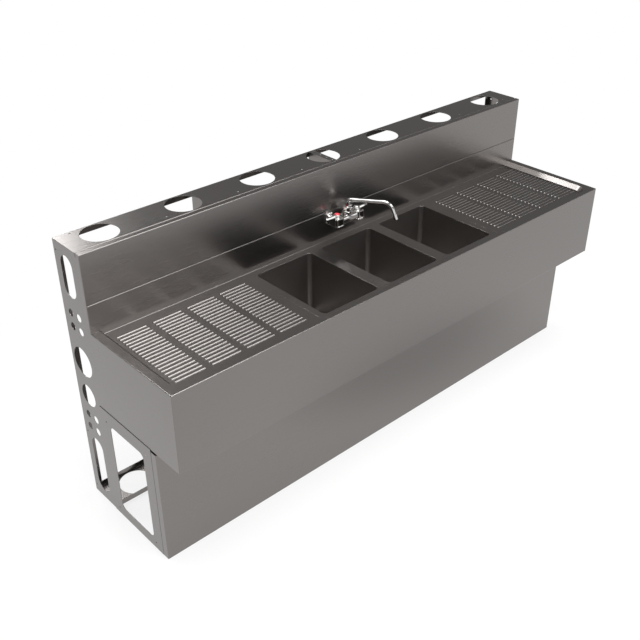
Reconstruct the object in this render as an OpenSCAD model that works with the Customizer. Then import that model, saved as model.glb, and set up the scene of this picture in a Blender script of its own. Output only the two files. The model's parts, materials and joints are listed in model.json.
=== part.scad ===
// Underbar bar sink: three bowls between two ribbed drainboards, a raised back
// with a splash-mounted faucet, and an open-backed pipe chase behind it.
// X runs along the unit, Y from front to back, Z up from the floor.
// Inside the modules Y is counted from the front face of the apron.

/* [Unit] */
// Overall width of the unit
unit_w = 2134; // [1900:1:2400]
// Overall depth, apron face to chase back
unit_d = 596; // [580:1:640]
// Height of the rim above the floor
rim_h = 749; // [720:1:780]
// Height of the top of the pipe chase
unit_h = 1026; // [1000:1:1080]
// Thickness of the folded sheets
sheet_t = 1.5; // [1.2:0.1:2]
// Outside radius of the sheet bends
bend_r = 2.5; // [2.2:0.1:3]

/* [Deck] */
// Height of the apron and skirts
apron_h = 292.7; // [260:0.1:320]
// Width of the inward lip along the foot of the apron and skirts
apron_lip = 20; // [12:1:30]
// How far the deck lies below the rim
deck_drop = 16; // [10:1:22]
// Width of the flat rim along the front
front_rim_w = 23; // [18:1:40]
// Width of the flat rim at each end
end_rim_w = 29; // [20:1:40]
// Corner radius at the foot of the sloped rim
deck_corner_r = 30; // [15:1:45]
// Radius of the cove between deck and splash
cove_r = 1.5; // [1:0.5:12]
// Height of the lower splash panel above the rim
splash_h = 100; // [60:1:140]
// Depth of the riser in front of the chase
riser_d = 23; // [20:1:40]
// Width of the shallow seam between riser and chase top
riser_seam = 2.5; // [1:0.1:4]
// Height of the folded edge at the back of the riser
riser_lip = 15; // [8:1:30]
// Flat between the outer bowls and the joints to the drainboards
deck_joint_margin = 16; // [8:1:40]
// Width of the stiffening channels under the drainboards
brace_w = 60; // [40:1:100]
// Height of the stiffening channels
brace_h = 25; // [15:1:40]

/* [Ribs] */
// Length of one raised rib
rib_l = 113; // [60:1:150]
// Gap between two columns of ribs
rib_gap = 20.5; // [12:0.5:40]
// Width of a rib at the deck
rib_w = 8; // [5:0.5:10]
// Height of a rib above the deck
rib_h = 3; // [1.5:0.1:3.8]
// Distance between ribs, centre to centre
rib_pitch = 17.6; // [12:0.1:24]
// Flat between the end slope and the first rib
rib_end_margin = 12; // [8:1:40]
// Flat between the front slope and the first rib
rib_front_margin = 29; // [15:1:60]
// Flat between the last rib and the splash
rib_back_margin = 49; // [20:1:90]
// Least flat between the ribs and the nearest bowl
rib_bowl_margin = 60; // [40:1:100]

/* [Bowls] */
// Inside width of a bowl
bowl_w = 254; // [200:1:270]
// Distance from a bowl's back edge to the splash
bowl_back = 29.4; // [20:0.1:80]
// Inside depth of a bowl
bowl_depth = 254; // [200:1:260]
// Distance between bowls, centre to centre
bowl_pitch = 304.8; // [300:0.1:320]
// Distance from apron face to the bowls
bowl_front = 50; // [46:1:60]
// Inside corner radius of a bowl
bowl_r = 18; // [12:1:30]
// Thickness of the bowl sheet
bowl_t = 1.2; // [1:0.1:1.5]
// Width of the weld flange round the top of a bowl
bowl_flange = 9; // [5:1:14]
// Depth of the recess round the drain
recess_drop = 2.5; // [1.5:0.1:4]
// Gap between the drain flange and the side of its recess
recess_margin = 1.5; // [0.5:0.1:4]
// Bore of the drain hole in a bowl
drain_bore_d = 50; // [46:1:60]

/* [Drains] */
// Diameter of the drain flange
drain_flange_d = 84; // [75:1:95]
// Thickness of the drain flange
drain_flange_t = 2; // [1.5:0.5:3]
// Outside diameter of the threaded drain body
drain_body_d = 45; // [42:1:46]
// Bore of the drain body
drain_hole_d = 38.5; // [36:0.1:40]
// Length of the drain body below the bowl
drain_body_l = 62; // [50:1:80]
// Width of the cross bars in the drain
drain_bar_w = 4; // [3:0.5:6]
// Thickness of the drain gasket
drain_gasket_t = 3; // [2:0.5:4]
// Width of the drain gasket round the drain body
drain_gasket_w = 13; // [8:1:20]
// Thickness of the drain locknut
drain_nut_t = 10; // [8:1:14]
// Diameter of the drain locknut over its corners
drain_nut_d = 65; // [58:1:75]
// Outside diameter of a tailpiece
tail_d = 38.1; // [32:0.1:38.3]
// Wall of a tailpiece
tail_t = 1.5; // [1:0.1:2]
// Length of a tailpiece
tail_l = 150; // [100:1:200]
// Length of a tailpiece inside the drain body
tail_seat = 20; // [12:1:30]
// Height of the slip nut on a tailpiece
slip_nut_h = 18; // [14:1:24]
// Wall of the slip nut round the drain body
slip_nut_wall = 4.5; // [3:0.5:7]
// Thickness of the slip nut below the drain body
slip_lip = 6; // [3:0.5:8]
// Amount by which the held part of a tailpiece or shank is thinner than its free end
grip_step = 1.4; // [1:0.1:1.6]
// Distance from the nut that holds a tailpiece or shank to its free end's full width
grip_gap = 2; // [1:0.5:6]

/* [Chase] */
// Depth of the pipe chase
chase_d = 138; // [120:1:160]
// Height of the flanges of the top and bottom plates
chase_flange = 22; // [15:1:30]
// Width of the flanges of the end plates and uprights
post_flange = 25; // [18:1:35]
// Gap between the flanges of the end plates and those of the top and bottom plates
post_gap = 1; // [0.5:0.5:4]
// Diameter of the pipe holes in the top and bottom plates
pipe_hole_d = 125; // [90:1:128]
// Wanted distance between pipe holes
pipe_hole_pitch = 313; // [250:1:400]
// Distance from the end of the unit to the first pipe hole
pipe_hole_margin = 127.5; // [100:0.5:160]
// Diameter of the small fixing holes
fixing_d = 6; // [4:0.5:8]
// Wanted distance between the bar top fixing holes
top_fixing_pitch = 290; // [200:1:400]
// Distance from the end of the unit to the first bar top fixing hole
top_fixing_margin = 55; // [35:1:90]
// Distance of the front row of fixing holes from the chase front
top_fixing_front = 24; // [15:1:40]
// Distance of the rear fixing holes from the chase back
top_fixing_back = 13; // [8:1:25]
// Distance between the wall fixing holes
wall_fixing_pitch = 133.3; // [100:0.1:200]
// Height of the lowest wall fixing hole
wall_fixing_low = 100; // [60:1:150]
// Distance of the wall fixing holes from the end faces
wall_fixing_inset = 14; // [8:1:17]
// Distance of the joining holes of the end plates from the chase back
join_inset = 14; // [8:1:20]
// Height of the lower joining hole
join_low = 31; // [26:1:60]
// Height of the middle joining hole
join_mid = 280; // [200:1:400]
// Height of the upper joining hole
join_high = 991; // [900:1:995]
// Distance of the holes in the uprights' side from the chase back
upright_hole_inset = 9.5; // [7:0.5:20]
// Number of small holes in the top flange of an upright
upright_hole_count = 4; // [2:1:6]
// Distance of the outer small holes from the flange's ends
upright_hole_margin = 18; // [10:1:30]
// Distance of the small holes from the upright's middle
upright_hole_shift = 2; // [-4:0.5:4]

/* [End cut outs] */
// Width of the upper slot
slot_w = 70; // [50:1:90]
// Height of the lower end of the upper slot
slot_low = 840; // [820:1:860]
// Height of the upper end of the upper slot
slot_high = 990; // [960:1:996]
// Width of the lower slot
low_slot_w = 72; // [50:1:90]
// Height of the lower end of the lower slot
low_slot_low = 37; // [30:1:60]
// Height of the upper end of the lower slot
low_slot_high = 274; // [240:1:285]
// Diameter of the larger round hole
big_hole_d = 110; // [80:1:120]
// Height of the larger round hole
big_hole_z = 597; // [590:1:610]
// Diameter of the smaller round hole
mid_hole_d = 84; // [60:1:100]
// Height of the smaller round hole
mid_hole_z = 461; // [450:1:470]
// Diameter of the supply line holes
line_hole_d = 28; // [20:1:32]
// Distance between the supply line holes, front to back
line_hole_gap_y = 50; // [40:1:60]
// Distance between the supply line holes, up and down
line_hole_gap_z = 52; // [40:1:60]
// Height of the middle of the upper line holes
high_line_z = 751; // [735:1:770]
// Height of the middle of the lower line holes
low_line_z = 346; // [335:1:360]

/* [Base] */
// Height of the base end panels
base_h = 458; // [430:1:470]
// Front edge of the base end panels, from the apron face
base_front = 157; // [140:1:180]
// Thickness by which the base panels lap outside the skirts
base_panel_t = 1.5; // [1.2:0.1:2]
// Width of the flanges of the base panels
base_flange = 20; // [15:1:30]
// Front side of the base opening, from the apron face
base_open_front = 207; // [200:1:220]
// Back side of the base opening, from the apron face
base_open_back = 403; // [390:1:415]
// Height of the lower side of the base opening
base_open_low = 43; // [38:1:60]
// Height of the upper side of the base opening
base_open_high = 405; // [380:1:410]
// Corner radius of the base opening
base_open_r = 22; // [10:1:40]
// Distance of the front joining holes from the base panel's front
base_hole_front = 39; // [28:1:42]
// Distance of the rear joining holes from the chase front
base_hole_back = 32; // [26:1:40]
// Height of the lower joining holes of the base panels
base_hole_low = 28; // [12:1:32]
// Height of the upper joining holes of the base panels
base_hole_high = 410; // [405:1:430]
// Size of the front rails
rail_d = 32; // [25:1:45]
// Height of the lower front rail
low_rail_h = 40; // [30:1:60]
// Height of the upper front rail
high_rail_h = 45; // [35:1:60]
// Distance from the apron foot down to the upper front rail
high_rail_drop = 6; // [4:1:15]
// Shank diameter of the bolts of the base
bolt_d = 6; // [4:0.5:8]
// Diameter of the bolt heads and nuts over their corners
bolt_head_d = 11; // [9:0.5:14]
// Height of the bolt heads and nuts
bolt_head_h = 4; // [3:0.5:6]
// Length of a bolt that stands out of its nut
bolt_tail = 1; // [0.5:0.5:5]
// Distance of the bolts from the end plates' outer faces
bolt_inset = 12; // [9:0.5:14]
// Height of the lowest bolts between base and chase
base_bolt_low = 70; // [50:1:100]
// Height of the middle bolts between base and chase
base_bolt_mid = 215; // [150:1:280]
// Height of the highest bolts between base and chase
base_bolt_high = 390; // [350:1:420]
// Height of the bolts of the lower front rail
low_rail_bolt_z = 22; // [14:1:24]

/* [Access panel] */
// Face of the access panel, from the apron face
panel_y = 128.5; // [115:0.5:138]
// Gap between the access panel and the apron foot
panel_gap = 6.3; // [5:0.1:12]
// Gap between the access panel and the floor
panel_foot = 1.5; // [1:0.5:10]
// Gap between the panel returns and the base panels
panel_side_gap = 1.5; // [1:0.1:3]
// Width of the top and bottom returns of the panel
panel_return = 14; // [8:1:18]
// Overlap of the panel clips behind the rail lip
clip_overlap = 4.3; // [3:0.1:5]
// Width of one clip
clip_w = 40; // [25:1:60]
// Number of clips along the panel
clip_count = 5; // [3:1:7]
// Distance from the end of the unit to the middle of the first clip
clip_margin = 150; // [60:1:300]
// Height of the hooks above the foot of the upper rail
hang_rise = 28; // [22:1:32]
// Distance from the panel's face to the lip that it hangs on
hang_depth = 10.5; // [7:0.5:14]
// Height of the lip of a bracket
bracket_lip_h = 12; // [9:0.5:16]
// Height of the plate of a bracket
bracket_plate_h = 22; // [16:1:28]
// Space between a bracket's lip and the tab of a clip
clip_space = 1.5; // [1:0.1:3]
// Height of the plate of a clip
clip_plate_h = 14; // [8:1:16]

/* [Faucet] */
// Distance between the two valve axes
valve_pitch = 101.6; // [95:0.1:110]
// Distance from the splash to the valve axes
valve_reach = 38; // [34:0.5:45]
// Height of the supply shanks above the rim
shank_rise = 72; // [60:1:84]
// Width of the valve columns
column_w = 44; // [38:1:56]
// Depth of the valve columns, front to back
column_l = 50; // [44:1:56]
// Corner radius of the valve columns
column_r = 14; // [8:1:18]
// Height of the valve columns
column_h = 30; // [26:1:36]
// Width of the lip round the foot of the valve columns
foot_lip = 2.5; // [1:0.5:3]
// Height of the lip round the foot of the valve columns
foot_lip_h = 4; // [2:0.5:6]
// Height of the bar between the valve columns
bar_h = 33; // [30:1:40]
// Depth of the bar between the valve columns
bar_d = 46; // [36:1:50]
// Radius of the long edges of the bar
bar_r = 13; // [4:1:15]
// Gap between the ends of the bar's top and the valve columns
column_relief = 1; // [0.5:0.5:3]
// Diameter of the inlet necks
neck_d = 30; // [24:1:34]
// Diameter of the wall flanges
wall_flange_d = 48; // [42:1:54]
// Thickness of the wall flanges
wall_flange_t = 6; // [4:0.5:8]
// Diameter of the supply shanks, half inch pipe
shank_d = 20.9; // [18:0.1:24]
// Length of the shanks behind the splash face
shank_l = 62; // [55:1:75]
// Bore of the shanks
shank_bore_d = 13; // [10:0.5:15]
// Length of a shank inside its inlet neck
shank_socket = 17; // [10:1:22]
// Diameter of the washers behind the splash
washer_d = 36; // [30:1:44]
// Thickness of the washers behind the splash
washer_t = 2; // [1:0.5:3]
// Diameter of the shank locknuts over their corners
locknut_d = 34; // [30:1:40]
// Thickness of the shank locknuts
locknut_t = 8; // [5:0.5:10]
// Diameter of the bonnets
bonnet_d = 25; // [20:0.5:30]
// Length of a bonnet inside its column
bonnet_seat = 20; // [14:1:24]
// Width of the bonnet's flange beyond the bonnet
bonnet_rim = 2.5; // [1.5:0.5:5]
// Height of the bonnet flange
bonnet_flange_h = 2.5; // [1.5:0.5:4]
// Diameter of the valve stems
stem_d = 8; // [6:0.5:10]
// Height of a stem's foot above the foot of its bonnet
stem_rise = 2; // [0.5:0.5:5]
// Diameter of a handle hub
hub_d = 25; // [20:1:30]
// Height of a handle hub
hub_h = 9.5; // [9:0.5:16]
// Thickness of a handle hub above its stem
hub_roof = 4; // [2:0.5:6]
// Length of a handle lever from its axis
lever_l = 54; // [35:1:60]
// Width of a lever
lever_w = 12; // [8:1:16]
// Thickness of a lever
lever_t = 7; // [4:0.5:7]
// Height of a lever above the foot of its hub
lever_lift = 2; // [0.5:0.5:2]
// Diameter of an index cap
cap_d = 19; // [14:1:20]
// Height of an index cap
cap_h = 5.5; // [4:0.5:8]
// Height of the domed top of an index cap
cap_dome = 3.5; // [1:0.5:4]

/* [Spout] */
// Direction in which the spout points, from the right end towards the front
spout_dir = -52.6; // [-90:0.1:-10]
// Height of the spout tube above the rim
spout_rise = 145; // [130:1:170]
// Diameter of the spout tube
spout_d = 14; // [12:0.5:16]
// Bore of the spout tube
spout_bore_d = 11; // [9:0.5:12.5]
// Bend radius of the spout
spout_bend_r = 20; // [16:1:30]
// Distance from the swivel to the outer bend
spout_run = 133; // [100:1:180]
// Bend radius of the outer bend
tip_bend_r = 38; // [25:1:45]
// Angle by which the outer end turns down
tip_angle = 70; // [45:1:85]
// Straight length after the outer bend
tip_l = 27; // [20:1:50]
// Diameter of the aerator
aerator_d = 17; // [15:0.5:24]
// Length of the aerator
aerator_l = 17; // [12:1:22]
// Length by which the aerator laps over the spout's end
aerator_lap = 4; // [2:0.5:8]
// Thickness of the aerator's face
aerator_face_t = 4; // [2:0.5:6]
// Diameter of the holes in the aerator's face
jet_d = 1.8; // [1:0.1:2.4]
// Distance of the holes from the aerator's axis
jet_r = 4; // [3:0.1:5]
// Number of holes in the aerator's face
jet_count = 8; // [4:1:9]
// Diameter of the spout nut
spout_nut_d = 30; // [26:1:34]
// Height of the spout nut
spout_nut_h = 18; // [14:1:22]
// Diameter of the boss under the spout nut
boss_d = 34; // [30:1:40]
// Height of the boss above the bar
boss_h = 8; // [5:1:12]
// Depth of the spout's socket below the bar's top
socket_depth = 14; // [12:0.5:18]
// Height of the spout's foot above the floor of its socket
spout_foot_gap = 1; // [0.5:0.5:2]
// Width of the ring that seals the spout
ring_w = 2.2; // [1.5:0.1:3]
// Height of the ring that seals the spout
ring_h = 2.8; // [2:0.1:4]
// Distance from the bar's top down to the foot of the ring
ring_drop = 7; // [5:0.5:9]

/* [Clearances] */
// Radial running clearance of stems and spout
run_clear = 0.05; // [0.02:0.01:0.1]
// Radial clearance round shanks, screws and drains
hole_clear = 0.8; // [0.4:0.1:1.5]
// Gap between curved faces that nearly touch
seat_gap = 0.3; // [0.2:0.05:0.5]
// Amount by which the spout's bends are thicker than its straight stretches
bend_swell = 0.3; // [0.2:0.1:0.6]
// Length by which the straight stretches run into the bends
bend_lap = 1; // [0.5:0.1:2]

/* [Hidden] */
$fn = 64;

half_w = unit_w / 2;
skirt_x = half_w - base_panel_t;
chase_y = unit_d - chase_d;
riser_y = chase_y - riser_d;
apron_foot = rim_h - apron_h;
deck_z = rim_h - deck_drop;
splash_top = rim_h + splash_h;

// Foot of the sloped rim, at the deck
tray_x = skirt_x - end_rim_w - deck_drop;
tray_y = front_rim_w + deck_drop;

// Bowls and drains; the bowls are as long as the deck leaves room for
bowl_l = riser_y - bowl_back - bowl_front;
bowl_x = [-bowl_pitch, 0, bowl_pitch];
bowl_mid_y = bowl_front + bowl_l / 2;
bars_y = [bowl_front + bowl_r, bowl_front + bowl_l - bowl_r];
span_w = bowl_w - 2 * bowl_r;
bowl_floor = deck_z - bowl_depth;
deck_split = bowl_pitch + bowl_w / 2 + bowl_flange + deck_joint_margin;
recess_r = drain_flange_d / 2 + recess_margin;
recess_floor = bowl_floor - recess_drop;
drain_foot = recess_floor - drain_body_l;
held_tail_d = tail_d - grip_step;

// Ribs: the cylinder whose cap has the rib's width and height
rib_r = (rib_w * rib_w / 4 + rib_h * rib_h) / (2 * rib_h);
rib_x0 = -tray_x + rib_end_margin;
rib_room = -bowl_pitch - bowl_w / 2 - rib_bowl_margin - rib_x0;
rib_cols = floor((rib_room + rib_gap) / (rib_l + rib_gap));
rib_y0 = tray_y + rib_front_margin;
rib_rows = floor((riser_y - rib_back_margin - rib_y0) / rib_pitch + 0.01) + 1;

// Chase
chase_mid_y = chase_y + chase_d / 2;
pipe_span = unit_w - 2 * pipe_hole_margin;
pipe_count = round(pipe_span / pipe_hole_pitch) + 1;
top_fixing_span = unit_w - 2 * top_fixing_margin;
top_fixing_count = round(top_fixing_span / top_fixing_pitch) + 1;
wall_fixing_count = floor((unit_h - 2 * wall_fixing_low) / wall_fixing_pitch) + 1;
join_z = [join_low, join_mid, join_high];
upright_x = [-half_w / 2, 0, half_w / 2];

// Base and access panel
rail_y = base_front + sheet_t;
rail_reach = half_w - base_panel_t;
high_rail_top = apron_foot - sheet_t - high_rail_drop;
high_rail_foot = high_rail_top - high_rail_h;
panel_top = apron_foot - panel_gap;
panel_back = base_front - panel_side_gap;
hang_z = high_rail_foot + hang_rise;
hang_y = panel_y + hang_depth;
clip_pitch = 2 * (half_w - clip_margin) / (clip_count - 1);
base_bolt_z = [base_bolt_low, base_bolt_mid, base_bolt_high];
rail_bolt_z = [low_rail_bolt_z, high_rail_top - high_rail_h / 2];
base_hole_y = [base_front + base_hole_front, chase_y - base_hole_back];
base_hole_z = [base_hole_low, base_hole_high];

// Faucet
valve_y = riser_y - valve_reach;
shank_z = rim_h + shank_rise;
held_shank_d = shank_d - grip_step;
column_top = shank_z + column_h / 2;
column_foot = shank_z - column_h / 2;
bar_top = column_foot + bar_h;
bonnet_flange_d = bonnet_d + 2 * bonnet_rim;
bonnet_top = column_top + bonnet_flange_h;
hub_foot = bonnet_top + seat_gap;
hub_top = hub_foot + hub_h;
stem_socket = hub_h - hub_roof;
neck_end = riser_y - wall_flange_t;
boss_top = bar_top + boss_h;
socket_floor = bar_top - socket_depth;
ring_d = spout_d + 2 * ring_w;
ring_z = bar_top - ring_drop;
spout_z = rim_h + spout_rise;
tip_start_u = spout_run + tip_bend_r * sin(tip_angle);
tip_start_z = spout_z - tip_bend_r * (1 - cos(tip_angle));

// Colours of the photographed finishes
steel = [0.52, 0.51, 0.5];
dark_steel = [0.42, 0.41, 0.4];
chrome = [0.85, 0.85, 0.86];

// From the apron's front face to the middle of the depth
module seat() {
    translate([0, -unit_d / 2, 0]) children();
}

// A box between two ends in each direction
module block(x, y, z) {
    translate([x[0], y[0], z[0]])
        cube([x[1] - x[0], y[1] - y[0], z[1] - z[0]]);
}

// A profile drawn in Y and Z, drawn out from x0 to x1
module along_x(x0, x1) {
    translate([x0, 0, 0])
        rotate([90, 0, 90])
            linear_extrude(x1 - x0) children();
}

// A profile drawn in X and Z, drawn out from y0 to y1
module along_y(y0, y1) {
    translate([0, y1, 0])
        rotate([90, 0, 0])
            linear_extrude(y1 - y0) children();
}

// The same on both ends of the unit
module both_ends() {
    children();
    mirror([1, 0, 0]) children();
}

// A rectangle between two ends in each direction
module patch(a, b) {
    translate([a[0], b[0]]) square([a[1] - a[0], b[1] - b[0]]);
}

// Quarter of a bent sheet round a centre, in the quarter given by two signs
module bend(centre, quarter) {
    translate(centre)
        into_quarter(quarter)
            intersection() {
                difference() {
                    circle(bend_r);
                    circle(bend_r - sheet_t);
                }
                square(bend_r);
            }
}

// Mirrors a drawing from the first quarter into the one given
module into_quarter(quarter) {
    mirror([quarter[0] < 0 ? 1 : 0, 0])
        mirror([0, quarter[1] < 0 ? 1 : 0])
            children();
}

// A rectangle with round corners, about its middle
module round_patch(w, l, r) {
    square([w - 2 * r, l], center = true);
    square([w, l - 2 * r], center = true);
    for (x = [-1, 1], y = [-1, 1])
        translate([x * (w / 2 - r), y * (l / 2 - r)]) circle(r);
}

// An upright slot with round ends, drilled along X
module slot_along_x(w, low, high) {
    hole_along_x(w, low + w / 2);
    hole_along_x(w, high - w / 2);
    block([-half_w - 1, half_w + 1], [chase_mid_y - w / 2, chase_mid_y + w / 2],
        [low + w / 2, high - w / 2]);
}

module hole_along_x(d, z, y = chase_mid_y) {
    translate([-half_w - 1, y, z])
        rotate([0, 90, 0])
            cylinder(d = d, h = unit_w + 2);
}

module hole_along_y(d, x, z, y0, y1) {
    translate([x, y1, z])
        rotate([90, 0, 0])
            cylinder(d = d, h = y1 - y0);
}

// Sink top

module front_apron() {
    reach = skirt_x - bend_r;
    color(steel) seat() {
        along_x(-reach, reach) {
            patch([0, sheet_t], [apron_foot + bend_r, rim_h - bend_r]);
            bend([bend_r, rim_h - bend_r], [-1, 1]);
            bend([bend_r, apron_foot + bend_r], [-1, -1]);
        }
        block([-skirt_x + apron_lip + 1, skirt_x - apron_lip - 1], [bend_r, apron_lip],
            [apron_foot, apron_foot + sheet_t]);
        both_ends() {
            translate([0, 0, apron_foot])
                linear_extrude(rim_h - bend_r - apron_foot)
                    bend([-reach, bend_r], [-1, -1]);
            translate([-reach, bend_r, rim_h - bend_r])
                intersection() {
                    difference() {
                        sphere(bend_r);
                        sphere(bend_r - sheet_t);
                    }
                    block([-bend_r, 0], [-bend_r, 0], [0, bend_r]);
                }
        }
    }
}

module left_skirt() {
    color(steel) seat() {
        along_y(bend_r, riser_y) {
            patch([-skirt_x, -skirt_x + sheet_t], [rim_h - bend_r - 1, rim_h - bend_r]);
            bend([-skirt_x + bend_r, rim_h - bend_r], [-1, 1]);
        }
        block([-skirt_x, -skirt_x + sheet_t], [riser_y, chase_y],
            [rim_h - bend_r - 1, rim_h]);
        along_y(bend_r, chase_y) {
            patch([-skirt_x, -skirt_x + sheet_t], [apron_foot + bend_r, rim_h - bend_r - 1]);
            bend([-skirt_x + bend_r, apron_foot + bend_r], [-1, -1]);
            patch([-skirt_x + bend_r, -skirt_x + apron_lip], [apron_foot, apron_foot + sheet_t]);
        }
    }
}

module right_skirt() {
    mirror([1, 0, 0]) left_skirt();
}

// The hollow of the deck, grown outwards by g
module tray(g) {
    grow = g * tan(22.5);
    foot = deck_z - g;
    rise = deck_drop + g + 1;
    half = tray_x + grow;
    front = tray_y - grow;
    back = riser_y + g;
    round_at = [tray_x - deck_corner_r, tray_y + deck_corner_r];
    round_r = deck_corner_r + grow;
    difference() {
        intersection() {
            along_y(0, unit_d)
                polygon([[-half, foot], [half, foot], [half + rise, foot + rise],
                    [-half - rise, foot + rise]]);
            along_x(-half_w, half_w)
                difference() {
                    polygon([[front, foot], [back, foot], [back, foot + rise],
                        [front - rise, foot + rise]]);
                    difference() {
                        patch([riser_y - cove_r, back + 1], [foot - 1, deck_z + cove_r]);
                        translate([riser_y - cove_r, deck_z + cove_r]) circle(cove_r + g);
                    }
                }
        }
        both_ends()
            difference() {
                block([-half_w, -round_at[0]], [-1, round_at[1]], [foot - 1, foot + rise + 1]);
                translate([-round_at[0], round_at[1], foot])
                    cylinder(r1 = round_r, r2 = round_r + rise, h = rise);
            }
    }
}

// The whole deck sheet with its rim, without ribs and bowl openings
module deck_sheet() {
    reach = skirt_x - bend_r;
    difference() {
        union() {
            intersection() {
                tray(sheet_t);
                block([-half_w, half_w], [0, unit_d], [0, rim_h]);
            }
            block([-reach, reach], [bend_r, riser_y], [rim_h - sheet_t, rim_h]);
        }
        tray(0);
    }
}

module rib_field() {
    intersection() {
        union() {
            for (col = [0 : rib_cols - 1], row = [0 : rib_rows - 1])
                translate([rib_x0 + col * (rib_l + rib_gap) + rib_w / 2,
                    rib_y0 + row * rib_pitch, deck_z + rib_h - rib_r])
                    rib();
        }
        block([-half_w, 0], [0, unit_d], [deck_z - sheet_t / 2, deck_z + rib_h + 1]);
    }
}

module rib() {
    run = rib_l - rib_w;
    rotate([0, 90, 0]) cylinder(r = rib_r, h = run, $fn = 24);
    sphere(rib_r, $fn = 24);
    translate([run, 0, 0]) sphere(rib_r, $fn = 24);
}

module left_drainboard() {
    color(steel) seat() {
        intersection() {
            deck_sheet();
            block([-half_w, -deck_split], [0, unit_d], [0, rim_h + 1]);
        }
        rib_field();
    }
}

module right_drainboard() {
    mirror([1, 0, 0]) left_drainboard();
}

// The sheet round the bowls. It is one sheet, kept as three nodes of plain pieces:
// the strips in front of and behind the bowls, the bars beside them and the corners.
module bowl_deck() {
    difference() {
        intersection() {
            deck_sheet();
            block([-deck_split, deck_split], [0, unit_d], [0, rim_h + 1]);
        }
        for (x = bowl_x)
            translate([x, bowl_mid_y, deck_z - sheet_t - 1])
                linear_extrude(sheet_t + 2) round_patch(bowl_w, bowl_l, bowl_r);
    }
}

module bowl_spans() {
    for (x = bowl_x)
        block([x - span_w / 2, x + span_w / 2], [-1, unit_d], [0, rim_h + 2]);
}

module bowl_bands() {
    block([-half_w, half_w], bars_y, [0, rim_h + 2]);
}

module bowl_deck_corners() {
    color(steel) seat() difference() {
        bowl_deck();
        bowl_spans();
        bowl_bands();
    }
}

module bowl_deck_bars() {
    color(steel) seat() intersection() {
        bowl_deck();
        bowl_bands();
    }
}

module bowl_deck_strips() {
    color(steel) seat() intersection() {
        bowl_deck();
        bowl_spans();
    }
}

// A box with round sides and a round foot, standing on its middle
module round_box(w, l, r, h) {
    across = w / 2 - r;
    along = l / 2 - r;
    translate([0, 0, r])
        linear_extrude(h - r) round_patch(w, l, r);
    block([-across, across], [-along, along], [0, r]);
    for (side = [-1, 1]) {
        translate([side * across, along, r])
            rotate([90, 0, 0]) cylinder(r = r, h = 2 * along);
        translate([-across, side * along, r])
            rotate([0, 90, 0]) cylinder(r = r, h = 2 * across);
        for (end = [-1, 1])
            translate([side * across, end * along, r]) sphere(r);
    }
}

module bowl(x) {
    top = deck_z - sheet_t;
    color(dark_steel) seat() translate([x, bowl_mid_y, 0])
        difference() {
            union() {
                translate([0, 0, bowl_floor - bowl_t])
                    round_box(bowl_w + 2 * bowl_t, bowl_l + 2 * bowl_t, bowl_r + bowl_t,
                        top - bowl_floor + bowl_t);
                translate([0, 0, top - bowl_t])
                    linear_extrude(bowl_t)
                        round_patch(bowl_w + 2 * bowl_flange, bowl_l + 2 * bowl_flange,
                            bowl_r + bowl_flange);
                translate([0, 0, recess_floor - bowl_t])
                    cylinder(r = recess_r + bowl_t, h = recess_drop + bowl_t);
            }
            translate([0, 0, bowl_floor])
                round_box(bowl_w, bowl_l, bowl_r, top - bowl_floor + 1);
            translate([0, 0, recess_floor])
                cylinder(r = recess_r, h = recess_drop + 1);
            translate([0, 0, recess_floor - bowl_t - 1])
                cylinder(d = drain_bore_d, h = bowl_t + 2);
        }
}

module left_bowl() {
    bowl(bowl_x[0]);
}

module middle_bowl() {
    bowl(bowl_x[1]);
}

module right_bowl() {
    bowl(bowl_x[2]);
}

module splash_panel() {
    color(steel) seat() difference() {
        union() {
            along_x(-skirt_x, skirt_x) {
                patch([riser_y, riser_y + sheet_t], [rim_h, splash_top - bend_r]);
                bend([riser_y + bend_r, splash_top - bend_r], [-1, 1]);
                patch([riser_y + bend_r, chase_y], [splash_top - sheet_t, splash_top]);
            }
            both_ends()
                block([-skirt_x, -skirt_x + sheet_t], [riser_y + bend_r, chase_y],
                    [rim_h, splash_top]);
        }
        for (side = [-1, 1])
            hole_along_y(shank_d + 2 * hole_clear, side * valve_pitch / 2, shank_z,
                riser_y - 1, riser_y + sheet_t + 1);
    }
}

module riser_panel() {
    back = chase_y - riser_seam;
    lip_foot = unit_h - riser_lip;
    color(steel) seat() {
        along_x(-skirt_x, skirt_x) {
            patch([riser_y + bend_r, chase_y], [splash_top, splash_top + sheet_t]);
            bend([riser_y + bend_r, splash_top + bend_r], [-1, -1]);
            patch([riser_y, riser_y + sheet_t], [splash_top + bend_r, unit_h - bend_r]);
            bend([riser_y + bend_r, unit_h - bend_r], [-1, 1]);
            patch([riser_y + bend_r, back - bend_r], [unit_h - sheet_t, unit_h]);
            bend([back - bend_r, unit_h - bend_r], [1, 1]);
            patch([back - sheet_t, back], [lip_foot, unit_h - bend_r]);
        }
        both_ends() {
            block([-skirt_x, -skirt_x + sheet_t], [riser_y + bend_r, chase_y],
                [splash_top, lip_foot]);
            block([-skirt_x, -skirt_x + sheet_t], [riser_y + bend_r, back - sheet_t],
                [lip_foot - 1, unit_h - sheet_t]);
        }
    }
}

// A stiffening channel under a drainboard, open downwards
module left_deck_brace() {
    left = (-tray_x - deck_split - brace_w) / 2;
    right = left + brace_w;
    top = deck_z - sheet_t;
    color(steel) seat()
        along_y(tray_y + bend_r, riser_y - cove_r - bend_r)
            difference() {
                patch([left, right], [top - brace_h, top]);
                patch([left + sheet_t, right - sheet_t], [top - brace_h - 1, top - sheet_t]);
            }
}

module right_deck_brace() {
    mirror([1, 0, 0]) left_deck_brace();
}

// Pipe chase

module pipe_holes(z0, z1) {
    for (i = [0 : pipe_count - 1])
        translate([-pipe_span / 2 + i * pipe_span / (pipe_count - 1), chase_mid_y, z0])
            cylinder(d = pipe_hole_d, h = z1 - z0);
}

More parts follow.
